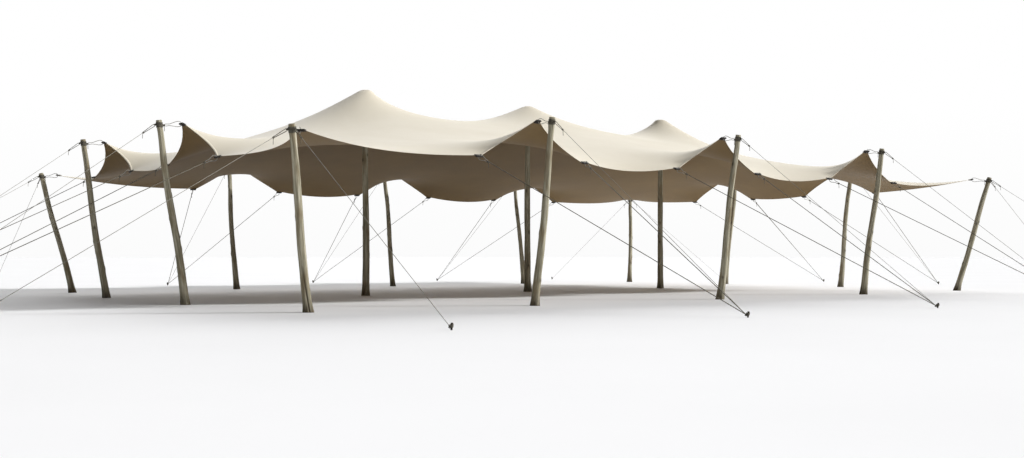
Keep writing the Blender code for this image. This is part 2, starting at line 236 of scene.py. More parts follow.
def settle(net, fine, rounds, stride):
    """Let every free node come to rest between its neighbours."""
    pull_x, pull_y, sag = net_pulls(fine)
    held = hold(net, fine)
    weight = np.zeros(net.shape[:2])
    weight[:-1] += pull_x
    weight[1:] += pull_x
    weight[:, :-1] += pull_y
    weight[:, 1:] += pull_y
    chequer = np.add.outer(np.arange(net.shape[0]), np.arange(net.shape[1])) % 2
    px, py = pull_x[..., None], pull_y[..., None]
    for _ in range(rounds):
        for colour in (0, 1):
            total = np.zeros_like(net)
            total[:-1] += px * net[1:]
            total[1:] += px * net[:-1]
            total[:, :-1] += py * net[:, 1:]
            total[:, 1:] += py * net[:, :-1]
            total[..., 2] -= sag
            moving = ~held & (chequer == colour)
            net[moving] += stride * (total[moving] / weight[moving][:, None] - net[moving])
    return net


def refine(nodes, cells):
    """Spread nodes, which lie at each cell line of the first axis, over the finer lines."""
    spots = np.arange(cells * FINE + 1) / FINE
    return np.apply_along_axis(lambda line: np.interp(spots, np.arange(cells + 1), line), 0, nodes)


i, j = np.meshgrid(np.arange(COLUMNS + 1) / COLUMNS, np.arange(ROWS + 1) / ROWS, indexing="ij")
start = np.stack([(i - 0.5) * 2 * HIGH_X, (j - 0.5) * 2 * HIGH_Y, np.full_like(i, START_Z)], axis=2)
coarse = settle(start, 1, COARSE_ROUNDS, COARSE_STRIDE)
lines_x, lines_y = COLUMNS * FINE, ROWS * FINE
swapped = refine(coarse, COLUMNS).transpose(1, 0, 2)
net = settle(refine(swapped, ROWS).transpose(1, 0, 2).copy(), FINE, FINE_ROUNDS, FINE_STRIDE)


def wave_scale(repeat):
    """The scale at which a wave texture, 2 pi / 20 m long at scale 1, repeats at a real length."""
    return 2 * pi / 20 / repeat


def knit(name, side, weave_depth, sheen):
    """Coated polyester knit: matt, faintly mottled, with a soft sheen where it turns away. The real
    stitches are 1 mm apart and are drawn 6 mm apart, so that they show at all from close by."""
    made, tree, shader = new_material(name)
    shader.inputs["Sheen Weight"].default_value = sheen
    shader.inputs["Sheen Roughness"].default_value = 0.5
    shader.inputs["Specular IOR Level"].default_value = 0.2
    cloth = put(tree, "UVMap", {"uv_map": "cloth"})
    clouds = put(tree, "TexNoise", {"Scale": 0.9, "Detail": 5.0, "Roughness": 0.6},
                 {"Vector": cloth.outputs["UV"]})
    shade = put(tree, "ValToRGB", links={"Fac": clouds.outputs["Fac"]})
    for stop, at, code in zip(shade.color_ramp.elements, (0.3, 0.7), side):
        stop.position, stop.color = at, linear(code)
    tree.links.new(shade.outputs["Color"], shader.inputs["Base Color"])
    gloss = put(tree, "MapRange", {"To Min": 0.66, "To Max": 0.82}, {"Value": clouds.outputs["Fac"]})
    tree.links.new(gloss.outputs["Result"], shader.inputs["Roughness"])
    wales, courses = (put(tree, "TexWave",
                          {"Scale": wave_scale(STITCH), "Distortion": 0.4, "bands_direction": way},
                          {"Vector": cloth.outputs["UV"]}) for way in 'XY')
    stitches = put(tree, "Math", {"operation": 'MULTIPLY'},
                   {0: wales.outputs["Fac"], 1: courses.outputs["Fac"]})
    weave = put(tree, "Bump", {"Strength": weave_depth, "Distance": 0.001}, {"Height": stitches.outputs[0]})
    tree.links.new(weave.outputs["Normal"], shader.inputs["Normal"])
    return made


cream_knit = knit("cream_coated_polyester_knit", ("#D0C7B2", "#D7CFBD"), 0.18, 0.15)
# The underside is brown and darker than the cloth itself: partly its own colour, partly painted shade
brown_knit_painted_shade = knit("brown_polyester_knit_painted_shade", ("#745F3F", "#7F6A48"), 0.18, 0.05)


def keep_piece(name, bm, materials, replaced, smooth=True):
    """Turn a bmesh into a piece that stands for CAD nodes and rides on the tent. Its sawn and cut
    ends, which have many corners, stay flat."""
    for face in bm.faces:
        face.smooth = smooth and len(face.verts) < 6
    mesh = bpy.data.meshes.new(name)
    bm.to_mesh(mesh)
    bm.free()
    for finish in materials:
        mesh.materials.append(finish)
    piece = bpy.data.objects.new(name, mesh)
    bpy.context.scene.collection.objects.link(piece)
    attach(piece, "root")
    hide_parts(*replaced)
    return piece


def cloth_sides(piece, thickness, offset):
    """Give a sheet its thickness: the first material above, the second below."""
    body = piece.modifiers.new("thickness", 'SOLIDIFY')
    body.thickness, body.offset, body.use_even_offset = thickness, offset, True
    body.material_offset = 1


bm = bmesh.new()
uv = bm.loops.layers.uv.new("cloth")
bmesh.ops.create_grid(bm, x_segments=lines_x, y_segments=lines_y, size=0.5, calc_uvs=True)
cut_off = []
for face in bm.faces:
    for loop in face.loops:
        loop[uv].uv = ((loop.vert.co.x + 0.5) * FLAT_SIZE[1], (loop.vert.co.y + 0.5) * FLAT_SIZE[0])
spot_of = {v: (round((v.co.x + 0.5) * lines_x), round((v.co.y + 0.5) * lines_y)) for v in bm.verts}
for face in bm.faces:
    from_corner = [min(a, lines_x - a) + min(b, lines_y - b) for a, b in (spot_of[v] for v in face.verts)]
    if max(from_corner) <= FINE:
        cut_off.append(face)
for vert, (a, b) in spot_of.items():
    if min(a, lines_x - a) + min(b, lines_y - b) == FINE - 1:
        a += 1 if a < lines_x / 2 else -1
    vert.co = Vector(net[a, b]) - Vector((0, 0, CLOTH_DROP))
bmesh.ops.delete(bm, geom=cut_off, context='FACES')
bmesh.ops.remove_doubles(bm, verts=bm.verts, dist=WELD)

# The cloth is creased where the hem ends, so that the two lie flat on each other
crease = {}
for edge in bm.edges:
    starts_on_rim, ends_on_rim = (v.is_boundary for v in edge.verts)
    if starts_on_rim != ends_on_rim:
        share = (HEM_W - HEM_OUT) / edge.calc_length()
        crease[edge] = share if starts_on_rim else 1 - share
bmesh.ops.subdivide_edges(bm, edges=list(crease), cuts=1, edge_percents=crease)
under_hem = [f for f in bm.faces if any(e.is_boundary for e in f.edges)]
bmesh.ops.triangulate(bm, faces=under_hem, quad_method='SHORT_EDGE')
if sum(f.normal.z for f in bm.faces) < 0:
    bmesh.ops.reverse_faces(bm, faces=bm.faces)
canopy = keep_piece("canopy_cloth_sheet", bm, [cream_knit, brown_knit_painted_shade], ["canopy"])
cloth_sides(canopy, CLOTH_T, -1.0)

# The hem runs round the rim: rim nodes in order, each with its neighbour further in
end_x, end_y = lines_x - FINE, lines_y - FINE
rim = [((a, 0), (a, 1)) for a in range(FINE, end_x + 1)]
rim += [((end_x + k, k), (end_x + k - 1, k + 1)) for k in range(1, FINE)]
rim += [((lines_x, b), (lines_x - 1, b)) for b in range(FINE, end_y + 1)]
rim += [((lines_x - k, end_y + k), (lines_x - k - 1, end_y + k - 1)) for k in range(1, FINE)]
rim += [((a, lines_y), (a, lines_y - 1)) for a in range(end_x, FINE - 1, -1)]
rim += [((FINE - k, lines_y - k), (FINE - k + 1, lines_y - k - 1)) for k in range(1, FINE)]
rim += [((0, b), (1, b)) for b in range(end_y, FINE - 1, -1)]
rim += [((k, FINE - k), (k + 1, FINE - k + 1)) for k in range(1, FINE)]
drop = Vector((0, 0, CLOTH_DROP + CLOTH_T / 2))
outer = [Vector(net[a]) - drop for a, b in rim]
inward = [(Vector(net[b]) - Vector(net[a])).normalized() for a, b in rim]
bm = bmesh.new()
uv = bm.loops.layers.uv.new("cloth")
bmesh.ops.create_grid(bm, x_segments=len(rim), y_segments=1, size=0.5, calc_uvs=True)
steps = [(after - point).length for point, after in zip(outer, outer[1:] + outer[:1])]
run = np.concatenate([[0], np.cumsum(steps)])
for face in bm.faces:
    for loop in face.loops:
        station = round((loop.vert.co.x + 0.5) * len(rim))
        loop[uv].uv = (run[station], (loop.vert.co.y + 0.5) * HEM_W)
for vert in bm.verts:
    station, share = round((vert.co.x + 0.5) * len(rim)) % len(rim), vert.co.y + 0.5
    vert.co = outer[station] + inward[station] * (share * HEM_W - HEM_OUT)
bmesh.ops.remove_doubles(bm, verts=bm.verts, dist=WELD)
bmesh.ops.triangulate(bm, faces=bm.faces, quad_method='SHORT_EDGE')
if sum(f.normal.z for f in bm.faces) < 0:
    bmesh.ops.reverse_faces(bm, faces=bm.faces)
hem = keep_piece("canopy_hem", bm, [cream_knit, brown_knit_painted_shade], ["canopy"])
cloth_sides(hem, HEM_T, 0.0)

# Poles: peeled gum trunks, a little bent and knotty, with long weather streaks, a dark foot and a
# head sawn flat. Three stand under the peaks and carry a padded head; fourteen lean out round the
# rim. The near corner trunk has split upwards from its foot, and the inside of the split is painted
# dark as shade.
LONG_Y, END_X, CORNER_X, CORNER_Y = 5.27, 8.05, 7.67, 5.03
SIDE_LEAN, SIDE_TOP, CORNER_LEAN, CORNER_TOP, CENTRE_TOP = 0.41, 2.77, 0.475, 2.40, 3.8317
CENTRE_RADII, SIDE_RADII, CORNER_RADII = (0.079, 0.058, 0.046), (0.073, 0.052, 0.045), (0.073, 0.051, 0.046)
SPOTS = (0, 0.06, 0.28, 0.52, 0.76, 0.93, 1)        # shares of the length where the outline is set
SLIM = 0.975                                        # leaves room for the lumps
BOW, SAWN_EDGE = 0.022, 0.005
BOW_END, BOW_FADE = 0.93, 0.17                      # shares of the length: it is straight above the first
PLAIN_HEAD, LUMP_FADE = 0.13, 0.08                  # no lumps under the lashing, full ones lower down
LUMPS, GROOVES = (1.5, 2.4, 0.006), (5.5, 1.1, 0.0035)      # how often round it, along it, and height
KNOBS, KNOB_SPAN, KNOB_RISE, KNOB_W, KNOB_L = 6, (0.1, 0.84), (0.004, 0.009), 0.028, 0.045
FLARE, FLARE_L, DAMP_L = 0.006, 0.06, 0.16          # the foot spreads, and is dark from the damp
LEVEL_L = 0.15                                      # the foot is cut level; rings turn square over this
# Knots and the damp foot are darker wood; the dark along the split is painted shade
KNOB_DARK, DAMP_DARK, SPLIT_SHADE = 0.8, 0.85, 1.3
RINGS, AROUND = 150, 32
PAD = ((0.064, 0.049), (0.060, 0.060), (0.052, 0.074), (0.042, 0.083), (0.031, 0.085), (0.021, 0.083),
       (0.0125, 0.077), (0.0070, 0.060), (0.0032, 0.040), (0.0008, 0.015))    # depth and radius
SPLIT_TOP, SPLIT_DEPTH, SPLIT_W = 0.66, 0.017, 0.010
SPLIT_TURN, SPLIT_DRIFT = -0.91, -0.93              # where it starts at the foot, and how it winds
SPLIT_DRAW, SPLIT_REACH = 0.75, 0.6                 # points are drawn together round the split

# Weathered gum is grey and olive over a tan wood, in streaks a few centimetres wide and as long as
# a forearm; the fibres are 1 mm wide and are drawn 4 mm wide, so that they show
bark, tree, shader = new_material("weathered_gum_timber")
shader.inputs["Specular IOR Level"].default_value = 0.25
grain = put(tree, "Attribute", {"attribute_name": "grain"})
wear_and_split_shade = put(tree, "Attribute", {"attribute_name": "wear_and_split_shade"})
streak_at = put(tree, "Mapping", {"Scale": (42.0, 42.0, 1.7)}, {"Vector": grain.outputs["Vector"]})
streaks = put(tree, "TexNoise", {"Scale": 1.0, "Detail": 5.0, "Roughness": 0.62},
              {"Vector": streak_at.outputs[0]})
fibre_at = put(tree, "Mapping", {"Scale": (250.0, 250.0, 7.0)}, {"Vector": grain.outputs["Vector"]})
fibres = put(tree, "TexNoise", {"Scale": 1.0, "Detail": 3.0}, {"Vector": fibre_at.outputs[0]})
timber = put(tree, "ValToRGB", links={"Fac": streaks.outputs["Fac"]})
timber.color_ramp.elements.new(0.5)
greys = ("#67634F", "#9C9681", "#C0BAA6")
for stop, at, code in zip(timber.color_ramp.elements, (0.30, 0.50, 0.68), greys):
    stop.position, stop.color = at, linear(code)
patch_at = put(tree, "Mapping", {"Scale": (9.0, 9.0, 2.2)}, {"Vector": grain.outputs["Vector"]})
patches = put(tree, "TexNoise", {"Scale": 1.0, "Detail": 3.0}, {"Vector": patch_at.outputs[0]})
stained = put(tree, "MapRange", {"From Min": 0.50, "From Max": 0.66, "To Max": 0.7},
              {"Value": patches.outputs["Fac"]})
weathered = put(tree, "MixRGB", {"Color2": linear("#7A6B50")},
                {"Fac": stained.outputs["Result"], "Color1": timber.outputs["Color"]})
threads = put(tree, "MapRange", {"From Min": 0.35, "From Max": 0.65, "To Min": 0.82, "To Max": 1.12},
              {"Value": fibres.outputs["Fac"]})
fibred = put(tree, "VectorMath", {"operation": 'MULTIPLY'},
             {0: weathered.outputs["Color"], 1: threads.outputs["Result"]})
# This darkens the knots and the damp foot, and paints shade into the split
worn_and_split_shaded = put(tree, "MixRGB", {"Color2": linear("#352A1C")},
           {"Fac": wear_and_split_shade.outputs["Fac"], "Color1": fibred.outputs[0]})
tree.links.new(worn_and_split_shaded.outputs["Color"], shader.inputs["Base Color"])
dryness = put(tree, "MapRange", {"To Min": 0.62, "To Max": 0.92}, {"Value": streaks.outputs["Fac"]})
tree.links.new(dryness.outputs["Result"], shader.inputs["Roughness"])
relief = put(tree, "Math", {"operation": 'MULTIPLY_ADD', 1: 0.35},
             {0: fibres.outputs["Fac"], 2: streaks.outputs["Fac"]})
rough = put(tree, "Bump", {"Strength": 0.6, "Distance": 0.004}, {"Height": relief.outputs[0]})
tree.links.new(rough.outputs["Normal"], shader.inputs["Normal"])

# The padded head is black canvas drawn over felt, so it is matt, with a coarse thread
pad_canvas, tree, shader = new_material("black_padded_canvas")
shader.inputs["Specular IOR Level"].default_value = 0.2
place = put(tree, "TexCoord")
threads = put(tree, "TexVoronoi", {"Scale": 1 / 0.003}, {"Vector": place.outputs["Object"]})
shade = put(tree, "ValToRGB", links={"Fac": threads.outputs["Distance"]})
for stop, code in zip(shade.color_ramp.elements, ("#262422", "#161514")):
    stop.color = linear(code)
tree.links.new(shade.outputs["Color"], shader.inputs["Base Color"])
thread_bump = put(tree, "Bump", {"Strength": 0.4, "Distance": 0.001},
                  {"Height": threads.outputs["Distance"]})
tree.links.new(thread_bump.outputs["Normal"], shader.inputs["Normal"])
shader.inputs["Roughness"].default_value = 0.85


def square_to(axis):
    """Two unit vectors square to an axis, the first level."""
    side = up.cross(axis)
    side = side.normalized() if side.length > 1e-4 else Vector((1, 0, 0))
    return side, axis.cross(side).normalized()


def turned(angle, mark):
    """The angle from a mark, between minus and plus half a turn."""
    return (angle - mark + pi) % (2 * pi) - pi


def trunk(name, foot, head, radii, seed, padded=False, split=False):
    """One trunk: a tube of rings, bent, grooved and knotted, spread at the foot, and sawn or padded
    on top."""
    axis = (head - foot).normalized()
    side, third = square_to(axis)
    length = (head - foot).length
    base, waist, tip = radii
    outline = (base, base * 0.86, waist * 1.06, waist, (waist + tip) / 2, tip, tip)
    chance = np.random.default_rng(seed)
    knobs = [(chance.uniform(-pi, pi), chance.uniform(*KNOB_SPAN), chance.uniform(*KNOB_RISE))
             for _ in range(KNOBS)]
    shift = Vector(chance.uniform(-40, 40, 3))
    bm = bmesh.new()
    grain_layer = bm.verts.layers.float_vector.new("grain")
    wear_and_split_shade_layer = bm.verts.layers.float.new("wear_and_split_shade")
    bmesh.ops.create_cone(bm, cap_ends=True, segments=AROUND, radius1=1, radius2=1, depth=1)
    uprights = [e for e in bm.edges if abs(e.verts[0].co.z - e.verts[1].co.z) > 0.5]
    bmesh.ops.subdivide_edges(bm, edges=uprights, cuts=RINGS)
    for vert in bm.verts:
        s, angle = vert.co.z + 0.5, atan2(vert.co.y, vert.co.x)
        ring = round(s * (RINGS + 1))
        along = s * length
        split_at = SPLIT_TURN + SPLIT_DRIFT * min(along, SPLIT_TOP)
        if split:
            turn = turned(angle, split_at)
            angle -= turn * SPLIT_DRAW * exp(-(turn / SPLIT_REACH) ** 2)
        radius = np.interp(s, SPOTS, outline) * SLIM
        round_about = Vector((cos(angle), sin(angle), 0))
        swell, dark = 0.0, 0.0
        for often, longways, rise in (LUMPS, GROOVES):
            swell += noise.noise(round_about * often + shift + up * (longways * along)) * rise
        for at, spot, rise in knobs:
            knob = exp(-(turned(angle, at) * radius / KNOB_W) ** 2 - ((s - spot) * length / KNOB_L) ** 2)
            swell += rise * knob
            dark = max(dark, KNOB_DARK * knob ** 2)
        swell *= min(1, max(0, (1 - s) * length - PLAIN_HEAD) / LUMP_FADE)
        spread = FLARE * exp(-along / FLARE_L) * (1 + noise.noise(round_about * 2 + shift))
        damp = 0.8 + 0.5 * noise.noise(round_about * 3 + up * along * 6 + shift)
        dark = max(dark, DAMP_DARK * exp(-(along / DAMP_L) ** 2) * damp)
        # The inside of the split is painted dark, as shade in the crack
        if split:
            gap = turned(angle, split_at) * radius
            open_share = max(0, 1 - along / SPLIT_TOP) ** 0.5 * exp(-(gap / SPLIT_W) ** 2)
            swell -= SPLIT_DEPTH * open_share
            dark = max(dark, min(1, SPLIT_SHADE * open_share))
        radius += swell + spread
        if padded and ring > RINGS + 1 - len(PAD):
            depth, radius = PAD[ring - (RINGS + 2 - len(PAD))]
            along = length - depth
        elif not padded and ring == RINGS:
            along = length - SAWN_EDGE
        elif not padded and ring == RINGS + 1:
            radius -= SAWN_EDGE
        bend = BOW * sin(pi * s) * min(1, max(0, (BOW_END - s) / BOW_FADE))
        sway = side * sin(2.4 * seed + 3 * s) + third * cos(1.7 * seed + 4 * s)
        out = (side * cos(angle) + third * sin(angle)) * radius
        level = axis * (out.z / axis.z * max(0, 1 - along / LEVEL_L))
        vert.co = foot + axis * along + sway * bend + out - level
        vert[grain_layer] = round_about * radius + up * along + shift
        vert[wear_and_split_shade_layer] = dark
    heights = {v: (v.co - foot).dot(axis) for v in bm.verts}
    for face in bm.faces:
        if padded and min(heights[v] for v in face.verts) > length - PAD[0][0] - 0.001:
            face.material_index = 1
    keep_piece(name + "_trunk", bm, [bark] + [pad_canvas] * padded, [name])


for k, x in enumerate(PEAK_X):
    trunk(f"pole_centre_{k + 1}", Vector((x, 0, 0)), Vector((x, 0, CENTRE_TOP)), CENTRE_RADII, k + 1,
          padded=True)
side_poles = [(f"{side}_{k + 1}", Vector((x, way * LONG_Y, 0)), Vector((0, way, 0)))
              for side, way in (("front", -1), ("back", 1)) for k, x in enumerate(LONG_X)]
side_poles += [(f"{side}_{k + 1}", Vector((way * END_X, y, 0)), Vector((way, 0, 0)))
               for side, way in (("left", -1), ("right", 1)) for k, y in enumerate(END_Y)]
corner_poles = [(f"corner_{k + 1}", Vector((a * CORNER_X, b * CORNER_Y, 0)), Vector((a, b, 0)))
                for k, (a, b) in enumerate(((-1, -1), (1, -1), (1, 1), (-1, 1)))]
seed = 5                                            # varies the bend from trunk to trunk
for label, foot, outward in side_poles:
    trunk(f"pole_{label}", foot, foot + outward * SIDE_LEAN + up * SIDE_TOP, SIDE_RADII, seed)
    seed += 1
for label, foot, outward in corner_poles:
    trunk(f"pole_{label}", foot, foot + outward * CORNER_LEAN + up * CORNER_TOP, CORNER_RADII, seed,
          split=label == "corner_1")
    seed += 1


# Stakes: forged iron pegs as thick as a finger, driven in until a hand's breadth stands out, each
# with its head spread by the hammer and a skin of dark scale and rust.
LONG_STAKE_Y, END_STAKE_X = 9.37, 12.17
CORNER_STAKES = (("a", 8.20, 9.10), ("b", 11.95, 5.40))
STAKE_TOP, STAKE_LEAN, STAKE_R = 0.075, 0.012, 0.0105
STAKE_OUTLINE = ((0.0, 0.0), (STAKE_R, 0.0), (STAKE_R, 0.062), (0.0125, 0.0655), (0.0136, 0.069),
                 (0.0132, 0.0725), (STAKE_R, 0.0750), (0.0, 0.0757))         # radius and height

stake_iron, tree, shader = new_material("forged_iron_with_rust")
place = put(tree, "TexCoord")
blotches = put(tree, "TexNoise", {"Scale": 110.0, "Detail": 5.0, "Roughness": 0.7},
               {"Vector": place.outputs["Object"]})
rust = put(tree, "ValToRGB", links={"Fac": blotches.outputs["Fac"]})
rust.color_ramp.elements.new(0.55)
for stop, at, code in zip(rust.color_ramp.elements, (0.40, 0.55, 0.70), ("#2B2927", "#3D332B", "#6B4B33")):
    stop.position, stop.color = at, linear(code)
tree.links.new(rust.outputs["Color"], shader.inputs["Base Color"])
bare = put(tree, "MapRange", {"From Min": 0.45, "From Max": 0.62, "To Min": 0.85, "To Max": 0.1},
           {"Value": blotches.outputs["Fac"]})
tree.links.new(bare.outputs["Result"], shader.inputs["Metallic"])
dull = put(tree, "MapRange", {"To Min": 0.45, "To Max": 0.9}, {"Value": blotches.outputs["Fac"]})
tree.links.new(dull.outputs["Result"], shader.inputs["Roughness"])
scale_bump = put(tree, "Bump", {"Strength": 0.5, "Distance": 0.001}, {"Height": blotches.outputs["Fac"]})
tree.links.new(scale_bump.outputs["Normal"], shader.inputs["Normal"])


def stake(name, foot, outward):
    """One peg, its outline spun round its axis; the axis is given back for the ropes."""
    axis = (outward * STAKE_LEAN + up * STAKE_TOP).normalized()
    side, third = square_to(axis)
    bm = bmesh.new()
    corners = [bm.verts.new((r, 0, h)) for r, h in STAKE_OUTLINE]
    edges = [bm.edges.new(pair) for pair in zip(corners, corners[1:])]
    bmesh.ops.spin(bm, geom=corners + edges, cent=(0, 0, 0), axis=(0, 0, 1), angle=2 * pi, steps=20,
                   use_merge=True)
    bmesh.ops.remove_doubles(bm, verts=bm.verts, dist=WELD)
    bmesh.ops.recalc_face_normals(bm, faces=bm.faces)
    for vert in bm.verts:
        spot = foot + side * vert.co.x + third * vert.co.y + axis * vert.co.z
        vert.co = spot - axis * (spot.z / axis.z) if vert.co.z < 1e-6 else spot
    keep_piece(name + "_peg", bm, [stake_iron], [name])
    return axis


# Rigging: laid polyester rope, wire links and bolted alloy clamps. A lashing at each outer pole holds
# a link with a clamp on the hem. A side pole has two more clamps, roped down to the stake that its
# thin guy runs to, and a corner pole has two guys, each to a stake of its own.
CLAMP_W, CLAMP_LAP, CLAMP_REACH, PLATE_T, PLATE_GAP = 0.118, 0.018, 0.050, 0.009, 0.006
SUNK, EDGE_ROUND = 0.001, 0.0025                    # bar and bolts reach a little into the plates
BAR_BACK, BAR_W, BAR_L, BAR_T = 0.012, CLAMP_W * 0.96, 0.022, PLATE_GAP + 2 * SUNK
BOLT_R, BOLT_TOP, BOLT_H, BOLT_AT = 0.0075, 0.0069, 0.006, (0.040, 0.020)
LINK_START, LOW_LINK, WIRE = 0.036, 0.176, 0.0048
LINK_OUTLINE = ((0.0, 0.024), (0.03, 0.030), (0.14, 0.041), (0.28, 0.039), (0.46, 0.027), (0.66, 0.013),
                (0.76, 0.011), (0.86, 0.016), (0.95, 0.014), (1.0, 0.005))  # share of length, half width
ROPE_R, GUY_R, TAIL_L, TAIL_OUT = 0.0055, 0.0033, 0.085, 0.06
TIED_R, STRAND_R, FINE_R = ROPE_R * 0.9, ROPE_R * 0.85, ROPE_R * 0.8    # pulled thinner where tied
COIL_POINTS = 18                                    # points to one turn
COLLAR_LOW, COLLAR_HIGH, COLLAR_TURNS = 0.112, 0.034, 7     # lashing, measured down from the head
LUG_DROP, LUG_OFF, HEM_DROP = 0.0725, 0.022, 0.004  # where ropes are tied at the head, and the hem
DOUBLED_L = 0.22                                    # each guy is doubled near the pole
DOUBLED_OUTLINE = ((-0.006, 0.0064), (0.03, 0.016), (DOUBLED_L, 0.006))     # run and half width
LINK_SHORT, KNOT_AWAY, ROPE_ON = 0.004, 0.010, 0.02     # link to knot, high and low, and rope past it
KNOT_R, KNOT_LAP, KNOT_POINTS = 0.0185, 0.012, 60   # a rope starts inside its knot
HITCH_LOW, HITCH_HIGH, HITCH_TURNS, HITCH_OFF, HITCH_R = 0.026, 0.060, 4, 0.004, 0.0045
BUNCH_UP, BUNCH_OFF = 0.034, 0.031                  # where the ropes meet beside the peg
SECOND_BACK, SECOND_UP = 0.012, 0.014               # their second knot, nearer the peg and higher


def cordage(name, codes, lay):
    """Laid polyester rope: three strands round each other, matt and dusty, and darker in the grooves
    between the strands.
    """
    made, tree, shader = new_material(name)
    shader.inputs["Roughness"].default_value = 0.85
    shader.inputs["Specular IOR Level"].default_value = 0.25
    shader.inputs["Sheen Weight"].default_value = 0.1
    along = put(tree, "UVMap", {"uv_map": "lay"})
    turns = put(tree, "VectorMath", {"operation": 'DOT_PRODUCT', 1: (1 / lay, 3.0, 0.0)},
                {0: along.outputs["UV"]})
    wound = put(tree, "Math", {"operation": 'MULTIPLY', 1: 2 * pi}, {0: turns.outputs["Value"]})
    strands = put(tree, "Math", {"operation": 'COSINE'}, {0: wound.outputs[0]})
    ridge = put(tree, "MapRange", {"From Min": -1.0, "To Min": 0.0}, {"Value": strands.outputs[0]})
    place = put(tree, "TexCoord")
    dust = put(tree, "TexNoise", {"Scale": 30.0, "Detail": 4.0}, {"Vector": place.outputs["Object"]})
    depth = put(tree, "Math", {"operation": 'MULTIPLY_ADD', 1: 0.55},
                {0: ridge.outputs["Result"], 2: dust.outputs["Fac"]})
    shade = put(tree, "ValToRGB", links={"Fac": depth.outputs[0]})
    for stop, at, code in zip(shade.color_ramp.elements, (0.45, 1.0), codes):
        stop.position, stop.color = at, linear(code)
    tree.links.new(shade.outputs["Color"], shader.inputs["Base Color"])
    twist = put(tree, "Bump", {"Strength": 0.9, "Distance": 0.002}, {"Height": ridge.outputs["Result"]})
    tree.links.new(twist.outputs["Normal"], shader.inputs["Normal"])
    return made


# The real lays are 40 and 25 mm long: drawn at their real size
edge_rope = cordage("grey_brown_laid_rope", ("#3F3C33", "#716C5E"), 0.040)
guy_cord = cordage("pale_guy_cord", ("#6C695F", "#99958A"), 0.025)

# Powder-coated alloy: near black and matt, rubbed brighter in scattered specks
clamp_black, tree, shader = new_material("black_powder_coated_alloy")
shader.inputs["Specular IOR Level"].default_value = 0.3
place = put(tree, "TexCoord")
orange_peel = put(tree, "TexNoise", {"Scale": 400.0, "Detail": 2.0}, {"Vector": place.outputs["Object"]})
rubs = put(tree, "TexNoise", {"Scale": 45.0, "Detail": 6.0, "Roughness": 0.7},
           {"Vector": place.outputs["Object"]})
shade = put(tree, "ValToRGB", links={"Fac": rubs.outputs["Fac"]})
for stop, at, code in zip(shade.color_ramp.elements, (0.55, 0.75), ("#28231E", "#514A41")):
    stop.position, stop.color = at, linear(code)
tree.links.new(shade.outputs["Color"], shader.inputs["Base Color"])
dull = put(tree, "MapRange", {"To Min": 0.55, "To Max": 0.78}, {"Value": rubs.outputs["Fac"]})
tree.links.new(dull.outputs["Result"], shader.inputs["Roughness"])
skin = put(tree, "Bump", {"Strength": 0.25, "Distance": 0.0005}, {"Height": orange_peel.outputs["Fac"]})
tree.links.new(skin.outputs["Normal"], shader.inputs["Normal"])

# Galvanised wire: dull bright grey, with the cloudy spangle of the zinc
link_wire, tree, shader = new_material("galvanised_steel_wire")
shader.inputs["Metallic"].default_value = 0.35
place = put(tree, "TexCoord")
spangle = put(tree, "TexVoronoi", {"Scale": 140.0}, {"Vector": place.outputs["Object"]})
shade = put(tree, "ValToRGB", links={"Fac": spangle.outputs["Distance"]})
for stop, code in zip(shade.color_ramp.elements, ("#A19E94", "#807E77")):
    stop.color = linear(code)
tree.links.new(shade.outputs["Color"], shader.inputs["Base Color"])
dull = put(tree, "MapRange", {"To Min": 0.35, "To Max": 0.6}, {"Value": spangle.outputs["Distance"]})
tree.links.new(dull.outputs["Result"], shader.inputs["Roughness"])


def lay_tube(bm, path, radius, sides=8, closed=False, finish=0):
    """Lay a tube along a path: a grid bent round it, with its long edges joined. Its map gives the
    run in metres and the share of a turn."""
    lay = bm.loops.layers.uv["lay"]
    count = len(path) - 1
    made = bmesh.ops.create_grid(bm, x_segments=count, y_segments=sides, size=0.5)["verts"]
    spots = {v: (round((v.co.x + 0.5) * count), round((v.co.y + 0.5) * sides)) for v in made}
    lean = square_to((path[1] - path[0]).normalized())[1]
    if closed:
        lean = (path[count // 4] - path[0]).cross(path[count // 2] - path[0]).normalized()
    rings, run = [], 0.0
    for k, point in enumerate(path):
        ahead = path[1 if closed else count] if k == count else path[k + 1]
        behind = path[count - 1 if closed else 0] if k == 0 else path[k - 1]
        heading = (ahead - behind).normalized()
        lean = (lean - heading * lean.dot(heading)).normalized()
        run += (point - path[k - 1]).length if k else 0
        rings.append((point, lean.copy(), heading.cross(lean), run))
    for face in {f for v in made for f in v.link_faces}:
        face.material_index = finish
        for loop in face.loops:
            k, side = spots[loop.vert]
            loop[lay].uv = (rings[k][3], side / sides)
    for vert, (k, side) in spots.items():
        point, lean, third, _ = rings[k]
        angle = -2 * pi * side / sides
        vert.co = point + (lean * cos(angle) + third * sin(angle)) * radius
    bmesh.ops.remove_doubles(bm, verts=made, dist=WELD)


def close_tubes(bm):
    """Close the tubes' open ends and turn every face outwards."""
    bmesh.ops.holes_fill(bm, edges=[e for e in bm.edges if e.is_boundary], sides=8)
    bmesh.ops.recalc_face_normals(bm, faces=bm.faces)


def coil(centre_low, centre_high, radius, turns):
    """Points of a winding round an axis, from its low end to its high end."""
    side, third = square_to((centre_high - centre_low).normalized())
    count = turns * COIL_POINTS
    points = []
    for k in range(count + 1):
        angle = 2 * pi * k / COIL_POINTS
        around = side * cos(angle) + third * sin(angle)
        points.append(centre_low.lerp(centre_high, k / count) + around * radius)
    return points


